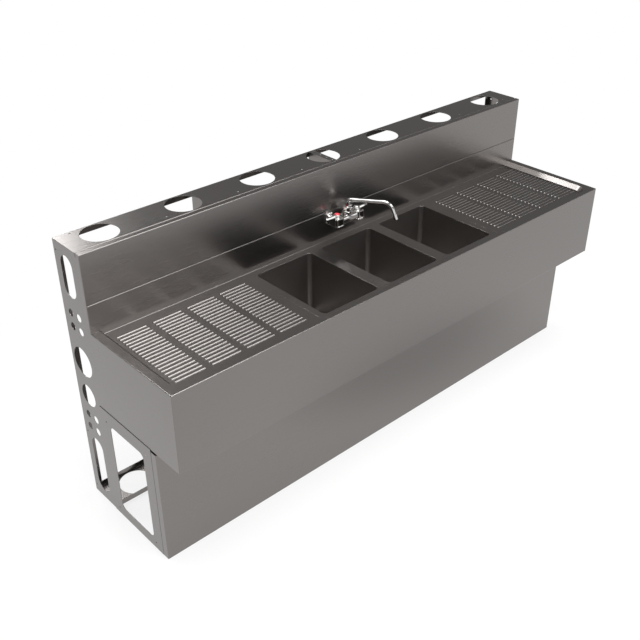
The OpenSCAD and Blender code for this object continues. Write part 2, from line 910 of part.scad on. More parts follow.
module chase_top_plate() {
    reach = skirt_x - sheet_t;
    foot = unit_h - chase_flange;
    color(steel) seat() difference() {
        union() {
            along_x(-reach, reach) {
                patch([chase_y + bend_r, unit_d - bend_r], [unit_h - sheet_t, unit_h]);
                bend([chase_y + bend_r, unit_h - bend_r], [-1, 1]);
                bend([unit_d - bend_r, unit_h - bend_r], [1, 1]);
                patch([chase_y, chase_y + sheet_t], [foot, unit_h - bend_r]);
                patch([unit_d - sheet_t, unit_d], [foot, unit_h - bend_r]);
            }
            block([-skirt_x, skirt_x], [chase_y + bend_r, unit_d - bend_r],
                [unit_h - sheet_t, unit_h]);
        }
        pipe_holes(unit_h - sheet_t - 1, unit_h + 1);
        for (i = [0 : top_fixing_count - 1])
            translate([-top_fixing_span / 2 + i * top_fixing_span / (top_fixing_count - 1),
                chase_y + top_fixing_front, unit_h - sheet_t - 1])
                cylinder(d = fixing_d, h = sheet_t + 2);
        for (side = [-1, 1])
            translate([side * top_fixing_span / 2, unit_d - top_fixing_back,
                unit_h - sheet_t - 1])
                cylinder(d = fixing_d, h = sheet_t + 2);
    }
}

module chase_bottom_plate() {
    reach = skirt_x - sheet_t;
    color(steel) seat() difference() {
        along_x(-reach, reach) {
            patch([chase_y + bend_r, unit_d - bend_r], [0, sheet_t]);
            bend([chase_y + bend_r, bend_r], [-1, -1]);
            bend([unit_d - bend_r, bend_r], [1, -1]);
            patch([chase_y, chase_y + sheet_t], [bend_r, chase_flange]);
            patch([unit_d - sheet_t, unit_d], [bend_r, chase_flange]);
        }
        pipe_holes(-1, sheet_t + 1);
    }
}

// The holes through which pipes run along the unit
module pass_holes() {
    slot_along_x(slot_w, slot_low, slot_high);
    slot_along_x(low_slot_w, low_slot_low, low_slot_high);
    hole_along_x(big_hole_d, big_hole_z);
    hole_along_x(mid_hole_d, mid_hole_z);
    for (mid = [high_line_z, low_line_z], up = [-1, 1], side = [-1, 1])
        hole_along_x(line_hole_d, mid + up * line_hole_gap_z / 2,
            chase_mid_y + side * line_hole_gap_y / 2);
}

module left_end_plate() {
    low = chase_flange + post_gap;
    high = unit_h - chase_flange - post_gap;
    inner = -skirt_x + post_flange;
    color(steel) seat() difference() {
        union() {
            block([-skirt_x, -skirt_x + sheet_t], [chase_y, unit_d], [0, unit_h - sheet_t]);
            block([-skirt_x, inner], [chase_y, chase_y + sheet_t], [low, high]);
            block([-skirt_x, inner], [unit_d - sheet_t, unit_d], [low, high]);
        }
        pass_holes();
        for (z = join_z)
            hole_along_x(fixing_d, z, unit_d - join_inset);
        for (i = [0 : wall_fixing_count - 1])
            hole_along_y(fixing_d, -skirt_x + wall_fixing_inset,
                wall_fixing_low + i * wall_fixing_pitch, unit_d - sheet_t - 1, unit_d + 1);
        for (z = base_bolt_z)
            hole_along_y(bolt_d + 2 * hole_clear, -skirt_x + bolt_inset, z,
                chase_y - 1, chase_y + sheet_t + 1);
    }
}

module right_end_plate() {
    mirror([1, 0, 0]) left_end_plate();
}

// A folded upright inside the chase, about its middle
module upright(x) {
    front = chase_y + bend_r;
    back = unit_d - bend_r;
    left = x - post_flange / 2;
    right = x + post_flange / 2;
    low = sheet_t;
    high = unit_h - sheet_t;
    hole_pitch = (back - front - 2 * upright_hole_margin) / (upright_hole_count - 1);
    color(steel) seat() difference() {
        union() {
            block([left, left + sheet_t], [front, back], [low, high]);
            block([left, right], [front, front + sheet_t], [low, high]);
            block([left, right], [back - sheet_t, back], [low, high]);
            block([left, right], [front, back], [low, low + sheet_t]);
            block([left, right], [front, back], [high - sheet_t, high]);
        }
        pass_holes();
        pipe_holes(-1, low + sheet_t + 1);
        for (i = [0 : upright_hole_count - 1])
            translate([x + upright_hole_shift, front + upright_hole_margin + i * hole_pitch,
                high - sheet_t - 1])
                cylinder(d = fixing_d, h = sheet_t + 2);
        for (i = [0 : wall_fixing_count - 1])
            hole_along_x(fixing_d, wall_fixing_low + i * wall_fixing_pitch,
                unit_d - upright_hole_inset);
    }
}

module left_upright() {
    upright(upright_x[0]);
}

module middle_upright() {
    upright(upright_x[1]);
}

module right_upright() {
    upright(upright_x[2]);
}

// Base

module left_base_panel() {
    t = base_panel_t;
    inner = -half_w + base_flange;
    top = apron_foot;
    color(steel) seat() difference() {
        union() {
            block([-half_w, -half_w + t], [base_front, chase_y], [0, base_h]);
            block([-half_w, inner], [base_front, base_front + sheet_t], [0, top]);
            block([-half_w, inner], [chase_y - sheet_t, chase_y], [0, top]);
            block([-half_w, inner], [base_front, chase_y], [0, sheet_t]);
            block([-half_w, inner], [base_front, chase_y], [top - sheet_t, top]);
        }
        translate([-half_w - 1, (base_open_front + base_open_back) / 2,
            (base_open_low + base_open_high) / 2])
            rotate([90, 0, 90])
                linear_extrude(t + 2)
                    round_patch(base_open_back - base_open_front,
                        base_open_high - base_open_low, base_open_r);
        for (y = base_hole_y, z = base_hole_z)
            translate([-half_w - 1, y, z])
                rotate([0, 90, 0]) cylinder(d = fixing_d, h = t + 2);
        for (z = base_bolt_z)
            hole_along_y(bolt_d + 2 * hole_clear, -skirt_x + bolt_inset, z,
                chase_y - sheet_t - 1, chase_y + 1);
        for (z = rail_bolt_z)
            hole_along_y(bolt_d + 2 * hole_clear, -skirt_x + bolt_inset, z,
                base_front - 1, base_front + sheet_t + 1);
    }
}

module right_base_panel() {
    mirror([1, 0, 0]) left_base_panel();
}

// A channel between the base panels, open towards the back
module front_rail(low, high) {
    color(steel) seat() difference() {
        along_x(-rail_reach, rail_reach)
            difference() {
                patch([rail_y, rail_y + rail_d], [low, high]);
                patch([rail_y + sheet_t, rail_y + rail_d + 1],
                    [low + sheet_t, high - sheet_t]);
            }
        for (side = [-1, 1], z = rail_bolt_z)
            hole_along_y(bolt_d + 2 * hole_clear, side * (skirt_x - bolt_inset), z,
                rail_y - 1, rail_y + sheet_t + 1);
    }
}

module low_front_rail() {
    front_rail(sheet_t, low_rail_h);
}

module high_front_rail() {
    front_rail(high_rail_foot, high_rail_top);
}

// Brackets on the upper rail, with the lip that the access panel hangs on
module panel_brackets() {
    foot = hang_z - bracket_lip_h;
    color(dark_steel) seat()
        for (i = [0 : clip_count - 1])
            translate([-half_w + clip_margin + i * clip_pitch - clip_w / 2, 0, 0])
                along_x(0, clip_w) {
                    patch([rail_y - sheet_t, rail_y], [foot, foot + bracket_plate_h]);
                    patch([hang_y, rail_y], [foot, foot + sheet_t]);
                    patch([hang_y, hang_y + sheet_t], [foot, hang_z]);
                }
}

// Clips welded inside the access panel, which hook over the brackets' lips
module panel_clips() {
    inner = panel_y + sheet_t;
    tab = hang_y + sheet_t + clip_space;
    color(dark_steel) seat()
        for (i = [0 : clip_count - 1])
            translate([-half_w + clip_margin + i * clip_pitch - clip_w / 2, 0, 0])
                along_x(0, clip_w) {
                    patch([inner, inner + sheet_t], [hang_z, hang_z + clip_plate_h]);
                    patch([inner, tab + sheet_t], [hang_z, hang_z + sheet_t]);
                    patch([tab, tab + sheet_t], [hang_z - clip_overlap, hang_z + sheet_t]);
                }
}

module access_panel() {
    reach = half_w - bend_r;
    color(steel) seat() {
        block([-reach, reach], [panel_y, panel_y + sheet_t], [panel_foot, panel_top]);
        both_ends() {
            translate([0, 0, panel_foot])
                linear_extrude(panel_top - panel_foot)
                    bend([-reach, panel_y + bend_r], [-1, -1]);
            block([-half_w, -half_w + sheet_t], [panel_y + bend_r, panel_back],
                [panel_foot, panel_top]);
        }
        for (z = [panel_foot, panel_top - sheet_t])
            block([-reach + bend_r, reach - bend_r], [panel_y, panel_y + panel_return],
                [z, z + sheet_t]);
    }
}

// A hexagon bolt along Y with its nut, its head at y0 and its nut behind y1
module bolt(x, z, y0, y1) {
    translate([x, y0, z])
        rotate([-90, 0, 0]) {
            translate([0, 0, -bolt_head_h])
                cylinder(d = bolt_head_d, h = bolt_head_h, $fn = 6);
            cylinder(d = bolt_d, h = y1 - y0 + bolt_head_h + bolt_tail);
            translate([0, 0, y1 - y0])
                cylinder(d = bolt_head_d, h = bolt_head_h, $fn = 6);
        }
}

module base_bolts() {
    color(chrome) seat()
        for (side = [-1, 1], z = base_bolt_z)
            bolt(side * (skirt_x - bolt_inset), z, chase_y - sheet_t, chase_y + sheet_t);
}

module rail_bolts() {
    color(chrome) seat()
        for (side = [-1, 1], z = rail_bolt_z)
            bolt(side * (skirt_x - bolt_inset), z, base_front, rail_y + sheet_t);
}

// Drains

module drain_flange(x) {
    color(chrome) seat() translate([x, bowl_mid_y, recess_floor]) {
        difference() {
            union() {
                cylinder(d = drain_flange_d, h = drain_flange_t);
                translate([0, 0, -drain_body_l])
                    cylinder(d = drain_body_d, h = drain_body_l);
            }
            translate([0, 0, -drain_body_l - 1])
                cylinder(d = drain_hole_d, h = drain_body_l + drain_flange_t + 2);
        }
        intersection() {
            union() {
                block([-drain_hole_d, drain_hole_d], [-drain_bar_w / 2, drain_bar_w / 2],
                    [0, drain_flange_t]);
                block([-drain_bar_w / 2, drain_bar_w / 2], [-drain_hole_d, drain_hole_d],
                    [0, drain_flange_t]);
            }
            cylinder(d = drain_hole_d + 1, h = drain_flange_t);
        }
    }
}

module left_drain_flange() {
    drain_flange(bowl_x[0]);
}

module middle_drain_flange() {
    drain_flange(bowl_x[1]);
}

module right_drain_flange() {
    drain_flange(bowl_x[2]);
}

module drain_gaskets() {
    color([0.08, 0.08, 0.08]) seat()
        for (x = bowl_x)
            translate([x, bowl_mid_y, recess_floor - bowl_t - drain_gasket_t])
                difference() {
                    cylinder(d = drain_body_d + 2 * drain_gasket_w, h = drain_gasket_t);
                    translate([0, 0, -1])
                        cylinder(d = drain_body_d + 2 * seat_gap, h = drain_gasket_t + 2);
                }
}

module drain_locknuts() {
    color(chrome) seat()
        for (x = bowl_x)
            translate([x, bowl_mid_y, recess_floor - bowl_t - drain_gasket_t - drain_nut_t])
                difference() {
                    cylinder(d = drain_nut_d, h = drain_nut_t, $fn = 8);
                    translate([0, 0, -1])
                        cylinder(d = drain_body_d + seat_gap, h = drain_nut_t + 2);
                }
}

// A tailpiece, of its full width up to a little below its slip nut
module tailpiece(x) {
    color(chrome) seat() translate([x, bowl_mid_y, drain_foot + tail_seat - tail_l])
        difference() {
            union() {
                cylinder(d = held_tail_d, h = tail_l);
                cylinder(d = tail_d, h = tail_l - tail_seat - slip_lip - grip_gap);
            }
            translate([0, 0, -1]) cylinder(d = tail_d - 2 * tail_t, h = tail_l + 2);
        }
}

module left_tailpiece() {
    tailpiece(bowl_x[0]);
}

module middle_tailpiece() {
    tailpiece(bowl_x[1]);
}

module right_tailpiece() {
    tailpiece(bowl_x[2]);
}

module slip_nuts() {
    color(chrome) seat()
        for (x = bowl_x)
            translate([x, bowl_mid_y, drain_foot - slip_lip])
                difference() {
                    cylinder(d = drain_body_d + 2 * slip_nut_wall, h = slip_nut_h);
                    translate([0, 0, slip_lip])
                        cylinder(d = drain_body_d + seat_gap, h = slip_nut_h);
                    translate([0, 0, -1])
                        cylinder(d = held_tail_d + seat_gap, h = slip_nut_h + 2);
                }
}

// Faucet

// Plan of a valve column, grown by g
module column_outline(g) {
    round_patch(column_w + 2 * g, column_l + 2 * g, column_r + g);
}

module faucet_body() {
    color(chrome) seat() difference() {
        union() {
            translate([0, valve_y, column_foot + bar_h / 2])
                rotate([0, 90, 0])
                    linear_extrude(valve_pitch, center = true)
                        round_patch(bar_h, bar_d, bar_r);
            for (side = [-1, 1]) {
                translate([side * valve_pitch / 2, valve_y, column_foot]) {
                    linear_extrude(column_h) column_outline(0);
                    linear_extrude(foot_lip_h) column_outline(foot_lip);
                }
                hole_along_y(neck_d, side * valve_pitch / 2, shank_z, valve_y, neck_end);
            }
            translate([0, valve_y, bar_top - bar_r]) cylinder(d = boss_d, h = boss_h + bar_r);
        }
        for (side = [-1, 1]) {
            translate([side * valve_pitch / 2, valve_y, column_top])
                linear_extrude(bar_h) column_outline(column_relief);
            translate([side * valve_pitch / 2, valve_y, column_top - bonnet_seat])
                cylinder(d = bonnet_d + seat_gap, h = bonnet_seat + 1);
            hole_along_y(held_shank_d + seat_gap, side * valve_pitch / 2, shank_z,
                neck_end - shank_socket, neck_end + 1);
        }
        translate([0, valve_y, socket_floor])
            cylinder(d = spout_d + 2 * run_clear, h = boss_top - socket_floor + 1);
        translate([0, valve_y, ring_z]) cylinder(d = ring_d, h = ring_h);
    }
}

module wall_flanges() {
    color(chrome) seat()
        for (side = [-1, 1])
            difference() {
                hole_along_y(wall_flange_d, side * valve_pitch / 2, shank_z, neck_end, riser_y);
                hole_along_y(shank_d + 2 * hole_clear, side * valve_pitch / 2, shank_z,
                    neck_end - 1, riser_y + 1);
            }
}

// A shank, of its full width from a little behind its locknut
module shank(x) {
    free = riser_y + sheet_t + washer_t + locknut_t + grip_gap;
    color("goldenrod") seat() difference() {
        union() {
            hole_along_y(held_shank_d, x, shank_z, neck_end - shank_socket,
                riser_y + shank_l);
            hole_along_y(shank_d, x, shank_z, free, riser_y + shank_l);
        }
        hole_along_y(shank_bore_d, x, shank_z, neck_end - shank_socket - 1,
            riser_y + shank_l + 1);
    }
}

module hot_shank() {
    shank(-valve_pitch / 2);
}

module cold_shank() {
    shank(valve_pitch / 2);
}

module shank_washers() {
    y = riser_y + sheet_t;
    color(chrome) seat()
        for (side = [-1, 1])
            difference() {
                hole_along_y(washer_d, side * valve_pitch / 2, shank_z, y, y + washer_t);
                hole_along_y(shank_d + 2 * hole_clear, side * valve_pitch / 2, shank_z,
                    y - 1, y + washer_t + 1);
            }
}

module shank_locknuts() {
    y = riser_y + sheet_t + washer_t;
    color("goldenrod") seat()
        for (side = [-1, 1])
            difference() {
                translate([side * valve_pitch / 2, y + locknut_t, shank_z])
                    rotate([90, 0, 0]) cylinder(d = locknut_d, h = locknut_t, $fn = 6);
                hole_along_y(held_shank_d + seat_gap, side * valve_pitch / 2, shank_z,
                    y - 1, y + locknut_t + 1);
            }
}

module bonnet(x) {
    color(chrome) seat() translate([x, valve_y, 0])
        difference() {
            union() {
                translate([0, 0, column_top - bonnet_seat])
                    cylinder(d = bonnet_d, h = bonnet_seat);
                translate([0, 0, column_top])
                    cylinder(d = bonnet_flange_d, h = bonnet_flange_h);
            }
            translate([0, 0, column_top - bonnet_seat - 1])
                cylinder(d = stem_d + 2 * run_clear, h = bonnet_seat + bonnet_flange_h + 2);
        }
}

module hot_bonnet() {
    bonnet(-valve_pitch / 2);
}

module cold_bonnet() {
    bonnet(valve_pitch / 2);
}

module stem(x) {
    foot = column_top - bonnet_seat + stem_rise;
    color("goldenrod") seat() translate([x, valve_y, foot])
        cylinder(d = stem_d, h = hub_foot + stem_socket - foot);
}

module hot_stem() {
    stem(-valve_pitch / 2);
}

module cold_stem() {
    stem(valve_pitch / 2);
}

// A lever handle, its lever towards the end of the unit
module hot_handle() {
    color(chrome) seat() translate([-valve_pitch / 2, valve_y, hub_foot])
        difference() {
            union() {
                cylinder(d = hub_d, h = hub_h);
                translate([0, 0, lever_lift])
                    linear_extrude(lever_t) {
                        patch([-lever_l + lever_w / 2, 0], [-lever_w / 2, lever_w / 2]);
                        translate([-lever_l + lever_w / 2, 0]) circle(d = lever_w);
                    }
            }
            translate([0, 0, -1])
                cylinder(d = stem_d + 2 * run_clear, h = stem_socket + 1);
        }
}

module cold_handle() {
    mirror([1, 0, 0]) hot_handle();
}

// A low domed cap on a handle hub
module index_cap(x) {
    dome_r = (cap_d * cap_d / 4 + cap_dome * cap_dome) / (2 * cap_dome);
    seat() translate([x, valve_y, hub_top])
        intersection() {
            cylinder(d = cap_d, h = cap_h);
            translate([0, 0, cap_h - dome_r]) sphere(dome_r);
        }
}

module hot_index_cap() {
    color("red") index_cap(-valve_pitch / 2);
}

module cold_index_cap() {
    color(chrome) index_cap(valve_pitch / 2);
}

module spout_nut() {
    color(chrome) seat() translate([0, valve_y, boss_top])
        difference() {
            cylinder(d = spout_nut_d, h = spout_nut_h, $fn = 8);
            translate([0, 0, -1])
                cylinder(d = spout_d + 2 * seat_gap, h = spout_nut_h + 2);
        }
}

module spout_o_ring() {
    color([0.08, 0.08, 0.08]) seat() translate([0, valve_y, ring_z])
        difference() {
            cylinder(d = ring_d, h = ring_h);
            translate([0, 0, -1]) cylinder(d = spout_d + 2 * run_clear, h = ring_h + 2);
        }
}

// Wall of the spout tube, across its line
module spout_wall(swell = 0) {
    difference() {
        circle(d = spout_d + swell);
        circle(d = spout_bore_d - swell);
    }
}

// A straight stretch of the spout, which runs a little way into the bends at its ends
module spout_straight(l, lap_start, lap_end) {
    translate([0, 0, -lap_start])
        linear_extrude(l + lap_start + lap_end) spout_wall();
}

// A bend of the spout about a centre at u and z, turning down from the angle given
module spout_bend(u, z, r, from, turn) {
    translate([u, 0, z])
        rotate([90, 0, 0])
            rotate([0, 0, from - turn])
                rotate_extrude(angle = turn) translate([r, 0]) spout_wall(bend_swell);
}

module at_swivel() {
    seat() translate([0, valve_y, 0]) rotate([0, 0, spout_dir]) children();
}

module spout() {
    foot = socket_floor + spout_foot_gap;
    color(chrome) at_swivel() {
        translate([0, 0, foot])
            spout_straight(spout_z - spout_bend_r - foot, 0, bend_lap);
        spout_bend(spout_bend_r, spout_z - spout_bend_r, spout_bend_r, 180, 90);
        translate([spout_bend_r, 0, spout_z])
            rotate([0, 90, 0])
                spout_straight(spout_run - spout_bend_r, bend_lap, bend_lap);
        spout_bend(spout_run, spout_z - tip_bend_r, tip_bend_r, 90, tip_angle);
        translate([tip_start_u, 0, tip_start_z])
            rotate([0, 90 + tip_angle, 0]) spout_straight(tip_l, bend_lap, 0);
    }
}

module aerator() {
    face = aerator_l + aerator_lap - aerator_face_t;
    color(chrome) at_swivel()
        translate([tip_start_u, 0, tip_start_z])
            rotate([0, 90 + tip_angle, 0])
                translate([0, 0, tip_l - aerator_lap])
                    difference() {
                        cylinder(d = aerator_d, h = aerator_l + aerator_lap);
                        translate([0, 0, -1])
                            cylinder(d = spout_d + seat_gap, h = aerator_lap + 1);
                        cylinder(d = spout_bore_d, h = face);
                        for (i = [0 : jet_count - 1])
                            rotate([0, 0, i * 360 / jet_count])
                                translate([jet_r, 0, face - 1])
                                    cylinder(d = jet_d, h = aerator_face_t + 2, $fn = 16);
                    }
}

front_apron();
left_skirt();
right_skirt();
left_drainboard();
right_drainboard();
bowl_deck_corners();
bowl_deck_bars();
bowl_deck_strips();
left_bowl();
middle_bowl();
right_bowl();
splash_panel();
riser_panel();
left_deck_brace();
right_deck_brace();
chase_top_plate();
chase_bottom_plate();
left_end_plate();
right_end_plate();
left_upright();
middle_upright();
right_upright();
left_base_panel();
right_base_panel();
low_front_rail();
high_front_rail();
panel_brackets();
access_panel();
panel_clips();
base_bolts();
rail_bolts();
left_drain_flange();
middle_drain_flange();
right_drain_flange();
drain_gaskets();
drain_locknuts();
left_tailpiece();
middle_tailpiece();
right_tailpiece();
slip_nuts();
faucet_body();
wall_flanges();
hot_shank();
cold_shank();
shank_washers();
shank_locknuts();
hot_bonnet();
cold_bonnet();
hot_stem();
cold_stem();
hot_handle();
cold_handle();
hot_index_cap();
cold_index_cap();
spout_nut();
spout_o_ring();
spout();
aerator();
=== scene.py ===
import json
import math

import bpy
from mathutils import Euler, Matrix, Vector


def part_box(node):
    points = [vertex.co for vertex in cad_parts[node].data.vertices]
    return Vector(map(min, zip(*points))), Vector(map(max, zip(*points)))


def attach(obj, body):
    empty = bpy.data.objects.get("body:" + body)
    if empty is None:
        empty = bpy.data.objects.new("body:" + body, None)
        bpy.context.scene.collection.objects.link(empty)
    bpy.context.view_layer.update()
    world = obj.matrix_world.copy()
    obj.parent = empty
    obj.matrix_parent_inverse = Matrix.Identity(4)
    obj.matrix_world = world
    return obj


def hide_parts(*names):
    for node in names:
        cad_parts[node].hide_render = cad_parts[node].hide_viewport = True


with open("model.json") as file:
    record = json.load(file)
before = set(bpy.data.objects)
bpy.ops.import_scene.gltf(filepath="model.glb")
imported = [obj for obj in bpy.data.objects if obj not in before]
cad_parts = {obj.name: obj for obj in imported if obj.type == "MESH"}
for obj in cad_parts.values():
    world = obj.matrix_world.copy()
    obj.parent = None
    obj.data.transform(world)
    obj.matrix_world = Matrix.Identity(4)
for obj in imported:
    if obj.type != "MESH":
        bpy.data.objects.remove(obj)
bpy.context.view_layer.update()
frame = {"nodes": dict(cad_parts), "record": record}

bl_info = {
    "name": "Underbar bar sink",
    "version": (1, 0, 0),
    "blender": (4, 5, 0),
    "location": "3D View > Sidebar > Bar Sink",
    "description": "Dresses the packed bar sink: folded sheets, bowls, drains, faucet and studio",
    "category": "Object",
}

NODES = frame["nodes"]

# Meshes: gaps in metres, angles in degrees
MERGE_GAP = 0.00001
SEAM_GAP = 0.00002
JOINT_GAP = 0.00005
FLAT_ANGLE = 0.6
SHARP_ANGLE = 32.0
FACING = 0.99
JOINT_FACING = 0.999
ROUND_SIDES = 64

# Patterns of the finishes: repeats in each metre along X, Y and Z, and depths in metres
GRAIN_ALONG = 9.0
GRAIN_ACROSS = 1900.0
GRAIN_DEPTH = 0.000004
CLOUDS = (1.3, 1.7, 1.5)
SMEARS = (6.0, 8.0, 7.0)
WATER_MARKS = (160.0, 160.0, 160.0)
WATER_MARK_DEPTH = 0.00004
HAZE = (35.0, 40.0, 38.0)
SPECKS = (900.0, 900.0, 900.0)
SPECK_DEPTH = 0.00005
MOULD_CLOUDS = (60.0, 60.0, 60.0)

# How far the patterns change a finish: share of one pattern in the colour, darkest and lightest
# factor of the colour, changes of roughness, and strength of the bumps
HAIR_SHARE = 0.3
SHEET_FACTORS = (0.97, 1.03)
HAIR_ROUGH = 0.03
CLOUD_ROUGH = 0.02
SMEAR_ROUGH = 0.015
HAZE_SHARE = 0.6
METAL_FACTORS = (0.95, 1.04)
WATER_MARK_STRENGTH = 0.04
MOULD_FACTORS = (0.9, 1.08)
MOULD_ROUGH = 0.08
COAT_ROUGH = 0.08
SPECK_STRENGTH = 0.08

# Colours that no setting holds, and how much rougher the inner sheets are
ZINC_TONE = (0.47, 0.47, 0.45)
BRASS_TONE = (0.62, 0.45, 0.20)
RUBBER_TONE = (0.03, 0.03, 0.03)
MILL_ROUGHER = 0.06

# Edge radii of the fittings in metres, and the steps that round an edge
FAUCET_EDGE = 0.0009
FITTING_EDGE = 0.0004
SHEET_EDGE_STEPS = 2
FITTING_EDGE_STEPS = 3

# Lever handles, in metres and degrees. A step of the hub's shoulder is a width and a share of
# its height, and a step of the nose is a share of its length and the width that it keeps
HUB_SHOULDER = 0.0014
HUB_SHOULDER_STEPS = ((0.0006, 0.65), (0.0011, 0.35))
HUB_SHARP = 40.0
LEVER_START = 0.004
LEVER_BLOCK = 0.016
LEVER_LIFT = 0.002
LEVER_DIP = 0.0005
LEVER_STEPS = 3
LEVER_EDGE = 0.0012
LEVER_SHARP = 15.0
NOSE = 0.0045
NOSE_STEPS = ((0.6, 0.84), (0.4, 0.6))
NOSE_DROP = 0.55

# Index caps, in metres and degrees. The wall is a share of the cap's height
CAP_WALL = 0.4
CAP_CHAMFER = 0.0003
CAP_DIP = 0.0005
CAP_RINGS = 7
CAP_ARC = 84.0
CAP_SHARP = 35.0

# Studio, in metres and degrees. A lamp has a name, a setting for its power, a place, an aim, a
# size and a turn, and the lamps overhead are turned to the heading of the spout at rest
ALONG_SPOUT = -52.6
LAMPS = (
    ("overhead_light", "overhead", (0.05, -1.35, 4.2), (0.05, -0.3, 0.75), (2.2, 4.4), ALONG_SPOUT),
    ("left_overhead_light", "overhead_left", (-1.53, 0.63, 4.2), (-0.6, 0.1, 0.75), (1.8, 4.4),
     ALONG_SPOUT),
    ("spout_light", "spout_light", (-0.256, 0.106, 4.2), (-0.25, 0.11, 1.0), (0.42, 1.0),
     ALONG_SPOUT),
    ("front_light", "front", (2.7, -5.0, 3.3), (0.2, 0.0, 0.8), (8.0, 2.4), 0.0),
    ("left_front_light", "front_left", (0.9, -4.6, 3.0), (-0.6, 0.0, 0.8), (2.0, 1.6), 0.0),
    ("high_rear_light", "high_rear", (-0.75, 2.9, 4.4), (0.2, 0.0, 0.8), (1.5, 1.3), 0.0),
    ("low_rear_light", "low_rear", (0.65, 5.2, 3.7), (-0.6, 0.2, 1.0), (1.1, 1.4), 0.0))
ROOM_TONE = (1.0, 0.98, 0.96)
WHITE = (1.0, 1.0, 1.0)
BLACK = (0.0, 0.0, 0.0)
FLOOR_SIZE = 120.0

# Spots on the floor: stretch and shift of its coordinates, where the spot begins and ends to
# fade, and the least share inside it
SHADOW_SPOT = ((0.55, 0.9, 0.0), (0.0, 0.0, 0.0), (0.45, 1.5), 0.78)
# Painted shade: inside this spot the floor's glow is darker in what the metal mirrors, though the
# camera sees it white
PAINTED_SHADE_SPOT = ((1.05, 2.2, 0.0), (-0.47, 1.21, 0.0), (0.25, 1.0), 0.56)

# Camera: place in metres, turn in degrees, sensor in millimetres
CAMERA_PLACE = (-2.10628, -2.05692, 2.25203)
CAMERA_TURN = (57.99398, 0.07348, -42.47749)
SENSOR_WIDTH = 36.0
FAR_CLIP = 300.0

# Sockets of the Mix node for colours
MIX_SHARE, MIX_FIRST, MIX_SECOND, MIXED = 0, 6, 7, 2


# Shader maths

class Value:
    """An output socket that can be used in sums and products."""

    def __init__(self, graph, socket):
        self.graph = graph
        self.socket = socket

    def maths(self, operation, first, second):
        return self.graph.node("ShaderNodeMath", {"operation": operation}, {0: first, 1: second})

    def __add__(self, other):
        return self.maths("ADD", self, other)

    def __radd__(self, other):
        return self.maths("ADD", other, self)

    def __sub__(self, other):
        return self.maths("SUBTRACT", self, other)

    def __rsub__(self, other):
        return self.maths("SUBTRACT", other, self)

    def __mul__(self, other):
        return self.maths("MULTIPLY", self, other)

    def __rmul__(self, other):
        return self.maths("MULTIPLY", other, self)

    def larger(self, other):
        """The larger of this value and another."""
        return self.maths("MAXIMUM", self, other)


class Graph:
    """The nodes of one material or world."""

    def __init__(self, tree):
        self.tree = tree
        tree.nodes.clear()

    def node(self, kind, settings=None, inputs=None, output=0):
        """Adds a node, with its settings first and then its values and links."""
        made = self.tree.nodes.new(kind)
        for name, value in (settings or {}).items():
            setattr(made, name, value)
        for key, value in (inputs or {}).items():
            if isinstance(value, Value):
                self.tree.links.new(value.socket, made.inputs[key])
            else:
                made.inputs[key].default_value = value
        return Value(self, made.outputs[output]) if made.outputs else made

    def place(self, stretch, shift=(0.0, 0.0, 0.0)):
        """Object coordinates, stretched in each direction and then shifted."""
        where = self.node("ShaderNodeTexCoord", output="Object")
        return self.node("ShaderNodeMapping", {}, {
            "Vector": where, "Location": shift, "Scale": stretch})

    def noise(self, stretch, detail=2.0, rough=0.5):
        """A noise pattern, from 0 to 1."""
        return self.node("ShaderNodeTexNoise", {}, {
            "Vector": self.place(stretch), "Scale": 1.0, "Detail": detail, "Roughness": rough})

    def blend(self, share, first, second):
        """A colour between two, by a share."""
        return self.node("ShaderNodeMix", {"data_type": "RGBA"}, {
            MIX_SHARE: share, MIX_FIRST: first, MIX_SECOND: second}, output=MIXED)

    def tint(self, share, tone, factors):
        """A colour between a darker and a lighter form of a tone, by a share."""
        return self.blend(share, *(rgba(tone, factor) for factor in factors))

    def bump(self, height, strength, distance):
        """A normal that follows a height."""
        return self.node("ShaderNodeBump", {}, {
            "Strength": strength, "Distance": distance, "Height": height})


def rgba(tone, factor=1.0):
    """A colour with its alpha, made lighter or darker by a factor."""
    return tuple(c * factor for c in tone) + (1.0,)


def new_material(name):
    """An empty material and its graph."""
    made = bpy.data.materials.new(name)
    made.use_nodes = True
    return made, Graph(made.node_tree)


def finish_surface(graph, inputs):
    """The main shader of a material, with the given inputs."""
    shader = graph.node("ShaderNodeBsdfPrincipled", {}, inputs)
    graph.node("ShaderNodeOutputMaterial", {}, {"Surface": shader})


def brushed_sheet(name, grain, tone, polish, strength):
    """Satin sheet: a very fine grain along one axis, faint clouding and handling marks."""
    made, graph = new_material(name)
    fine = [GRAIN_ACROSS] * 3
    fine["XYZ".index(grain)] = GRAIN_ALONG
    hair = graph.noise(fine, detail=3.0, rough=0.6)
    cloud = graph.noise(CLOUDS)
    smear = graph.noise(SMEARS, detail=3.0, rough=0.6)
    pattern = hair * HAIR_SHARE + cloud * (1.0 - HAIR_SHARE)
    rough = polish + (hair - 0.5) * HAIR_ROUGH + (cloud - 0.5) * CLOUD_ROUGH
    rough = rough + (smear - 0.5) * SMEAR_ROUGH
    finish_surface(graph, {
        "Base Color": graph.tint(pattern, tone, SHEET_FACTORS), "Metallic": 1.0,
        "Roughness": rough, "Normal": graph.bump(hair, strength, GRAIN_DEPTH)})
    return made


def polished_metal(name, tone, polish, wear):
    """Bright plated metal with faint water marks."""
    made, graph = new_material(name)
    marks = graph.noise(WATER_MARKS, detail=3.0, rough=0.6)
    haze = graph.noise(HAZE)
    pattern = haze * HAZE_SHARE + marks * (1.0 - HAZE_SHARE)
    finish_surface(graph, {
        "Base Color": graph.tint(pattern, tone, METAL_FACTORS), "Metallic": 1.0,
        "Roughness": polish + (marks - 0.5) * wear + (haze - 0.5) * wear,
        "Normal": graph.bump(marks, WATER_MARK_STRENGTH, WATER_MARK_DEPTH)})
    return made


